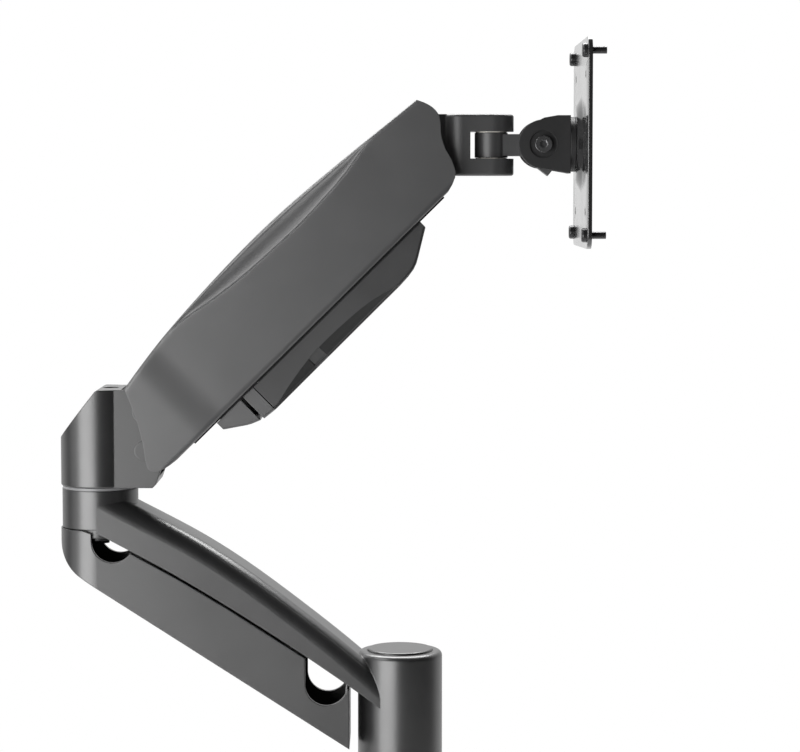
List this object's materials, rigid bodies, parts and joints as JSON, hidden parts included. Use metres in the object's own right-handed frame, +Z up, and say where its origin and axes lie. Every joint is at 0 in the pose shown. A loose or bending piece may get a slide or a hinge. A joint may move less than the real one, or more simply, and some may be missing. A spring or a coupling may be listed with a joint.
{
  "type": "monitor arm",
  "caption": "Gas-spring arm that clamps to a desk edge and carries a flat screen on a tilting, turning square plate, with clip-on cable covers.",
  "frame": {"origin": "the point of the desk top under the base post, at the middle of the base pad's underside", "axes": "+Z up; +X towards the screen, along the arm as stored; +Y to the arm's far side, with the arm about the plane Y = 0"},
  "size_m": [0.304, 0.115, 0.5974],
  "materials": {
    "pad_rubber": "matt",
    "cast_metal": "satin powder coat",
    "steel_sheet": "satin black",
    "bright_steel": "plated",
    "black_screw": "black oxide",
    "cover_plastic": "satin",
    "dark_plastic": "fine grain",
    "bush_plastic": "plain acetal",
    "gas_paint": "gloss black"
  },
  "bodies": {
    "base": {"base_pad": "pad_rubber", "base_plate": "cast_metal", "base_post": "bright_steel", "post_screw": "bright_steel", "post_washer": "bright_steel", "post_top_screw": "bright_steel", "clamp_bracket": "steel_sheet", "bracket_screws": "bright_steel", "clamp_nut": "steel_sheet"},
    "clamp_pad_body": {"clamp_pad": "cast_metal", "clamp_pad_rubber": "pad_rubber"},
    "clamp_screw_body": {"clamp_screw": "bright_steel", "clamp_knob": "dark_plastic"},
    "lower_arm": {"lower_arm_casting": "cast_metal", "lower_arm_cover": "cover_plastic", "cover_screws": "bright_steel", "base_bushes": "bush_plastic", "base_cap": "cover_plastic", "elbow_washer": "bush_plastic", "elbow_bush": "bush_plastic"},
    "turret": {"turret_housing": "cast_metal", "elbow_shaft": "bright_steel", "elbow_retainer": "bright_steel", "elbow_screw": "bright_steel", "rear_pin": "bright_steel", "tie_pins_rear": "bright_steel"},
    "tension_screw_body": {"tension_screw": "black_screw"},
    "tension_slider_body": {"tension_slider": "bright_steel", "slider_pin": "bright_steel"},
    "spring_arm": {"arm_channel": "steel_sheet", "rear_bushes": "bush_plastic", "left_cover": "cover_plastic", "right_cover": "cover_plastic", "cover_fixings": "bright_steel", "front_pin": "bright_steel", "front_spacers": "bush_plastic", "arm_tray": "dark_plastic", "cable_band": "dark_plastic", "cable_end_piece": "dark_plastic", "gas_pin": "bright_steel"},
    "cable_cover_body": {"cable_cover": "dark_plastic"},
    "tie_bars_body": {"tie_bars": "steel_sheet"},
    "gas_cylinder_body": {"gas_cylinder": "gas_paint", "gas_guide": "gas_paint"},
    "gas_rod_body": {"gas_rod": "bright_steel", "gas_piston": "gas_paint", "gas_rod_end": "gas_paint"},
    "yoke_body": {"yoke": "cast_metal", "tie_pin_front": "bright_steel", "swivel_pin": "bright_steel", "swivel_washers": "bush_plastic"},
    "swivel_link_body": {"swivel_link": "cast_metal"},
    "tilt_body": {"tilt_bracket": "cast_metal", "tilt_washers": "bush_plastic", "tilt_bolt": "black_screw", "tilt_nut": "black_screw", "turn_disc": "dark_plastic", "centre_bolt": "black_screw"},
    "plate_body": {"vesa_plate": "steel_sheet", "vesa_screws": "black_screw"}
  },
  "joints": [
    {"name": "base_swivel", "type": "hinge", "parent": "base", "child": "lower_arm", "pos_m": [0, 0, 0.05], "axis": [0, 0, 1], "range_deg": [-180, 180]},
    {"name": "elbow_swivel", "type": "hinge", "parent": "lower_arm", "child": "turret", "pos_m": [-0.17, 0, 0.195], "axis": [0, 0, 1], "range_deg": [-180, 180]},
    {"name": "arm_lift", "type": "hinge", "parent": "turret", "child": "spring_arm", "pos_m": [-0.143, 0, 0.238], "axis": [0, -1, 0], "range_deg": [-64.6, 5]},
    {"name": "tie_swing", "type": "hinge", "parent": "turret", "child": "tie_bars_body", "pos_m": [-0.143, 0, 0.216], "axis": [0, -1, 0], "range_deg": [-64.7, 5.1]},
    {"name": "yoke_level", "type": "hinge", "parent": "spring_arm", "child": "yoke_body", "pos_m": [0.0051, 0, 0.38405], "axis": [0, -1, 0], "range_deg": [-5.1, 64.7]},
    {"name": "gas_swing", "type": "hinge", "parent": "spring_arm", "child": "gas_cylinder_body", "pos_m": [-0.01484, 0, 0.36439], "axis": [0, -1, 0], "range_deg": [-0.8106, 0.155]},
    {"name": "gas_stroke", "type": "slide", "parent": "gas_cylinder_body", "child": "gas_rod_body", "axis": [-0.6503, 0, -0.7597], "range_m": [-0.01741, 0.00181]},
    {"name": "tension_turn", "type": "hinge", "parent": "turret", "child": "tension_screw_body", "pos_m": [-0.1634, 0, 0.23], "axis": [0, 0, 1], "range_deg": [-542, 542]},
    {"name": "tension_travel", "type": "slide", "parent": "turret", "child": "tension_slider_body", "axis": [0, 0, 1], "range_m": [-0.0015, 0.0015]},
    {"name": "clamp_travel", "type": "slide", "parent": "base", "child": "clamp_pad_body", "axis": [0, 0, 1], "range_m": [-0.04, 0.02]},
    {"name": "clamp_turn", "type": "hinge", "parent": "clamp_pad_body", "child": "clamp_screw_body", "pos_m": [-0.024, 0, -0.1], "axis": [0, 0, 1], "range_deg": [-9610, 4810]},
    {"name": "cable_cover_release", "type": "slide", "parent": "spring_arm", "child": "cable_cover_body", "axis": [0.7022, 0, -0.712], "range_m": [0, 0.03]},
    {"name": "head_swivel", "type": "hinge", "parent": "yoke_body", "child": "swivel_link_body", "pos_m": [0.0512, 0, 0.3869], "axis": [0, 0, 1], "range_deg": [-90, 90]},
    {"name": "head_tilt", "type": "hinge", "parent": "swivel_link_body", "child": "tilt_body", "pos_m": [0.0798, 0, 0.3869], "axis": [0, -1, 0], "range_deg": [-15, 75]},
    {"name": "plate_turn", "type": "hinge", "parent": "tilt_body", "child": "plate_body", "pos_m": [0.0982, 0, 0.3869], "axis": [1, 0, 0], "range_deg": [-180, 180]}
  ],
  "couplings": [
    {"joint": "tie_swing", "follows": "arm_lift", "ratio": 1},
    {"joint": "yoke_level", "follows": "arm_lift", "ratio": -1},
    {"joint": "gas_swing", "follows": "arm_lift", "ratio": 0.011},
    {"joint": "gas_stroke", "follows": "arm_lift", "m_per_rad": 0.015},
    {"joint": "tension_turn", "follows": "tension_travel", "rad_per_m": 6283.2},
    {"joint": "clamp_turn", "follows": "clamp_travel", "rad_per_m": 4188.8}
  ]
}
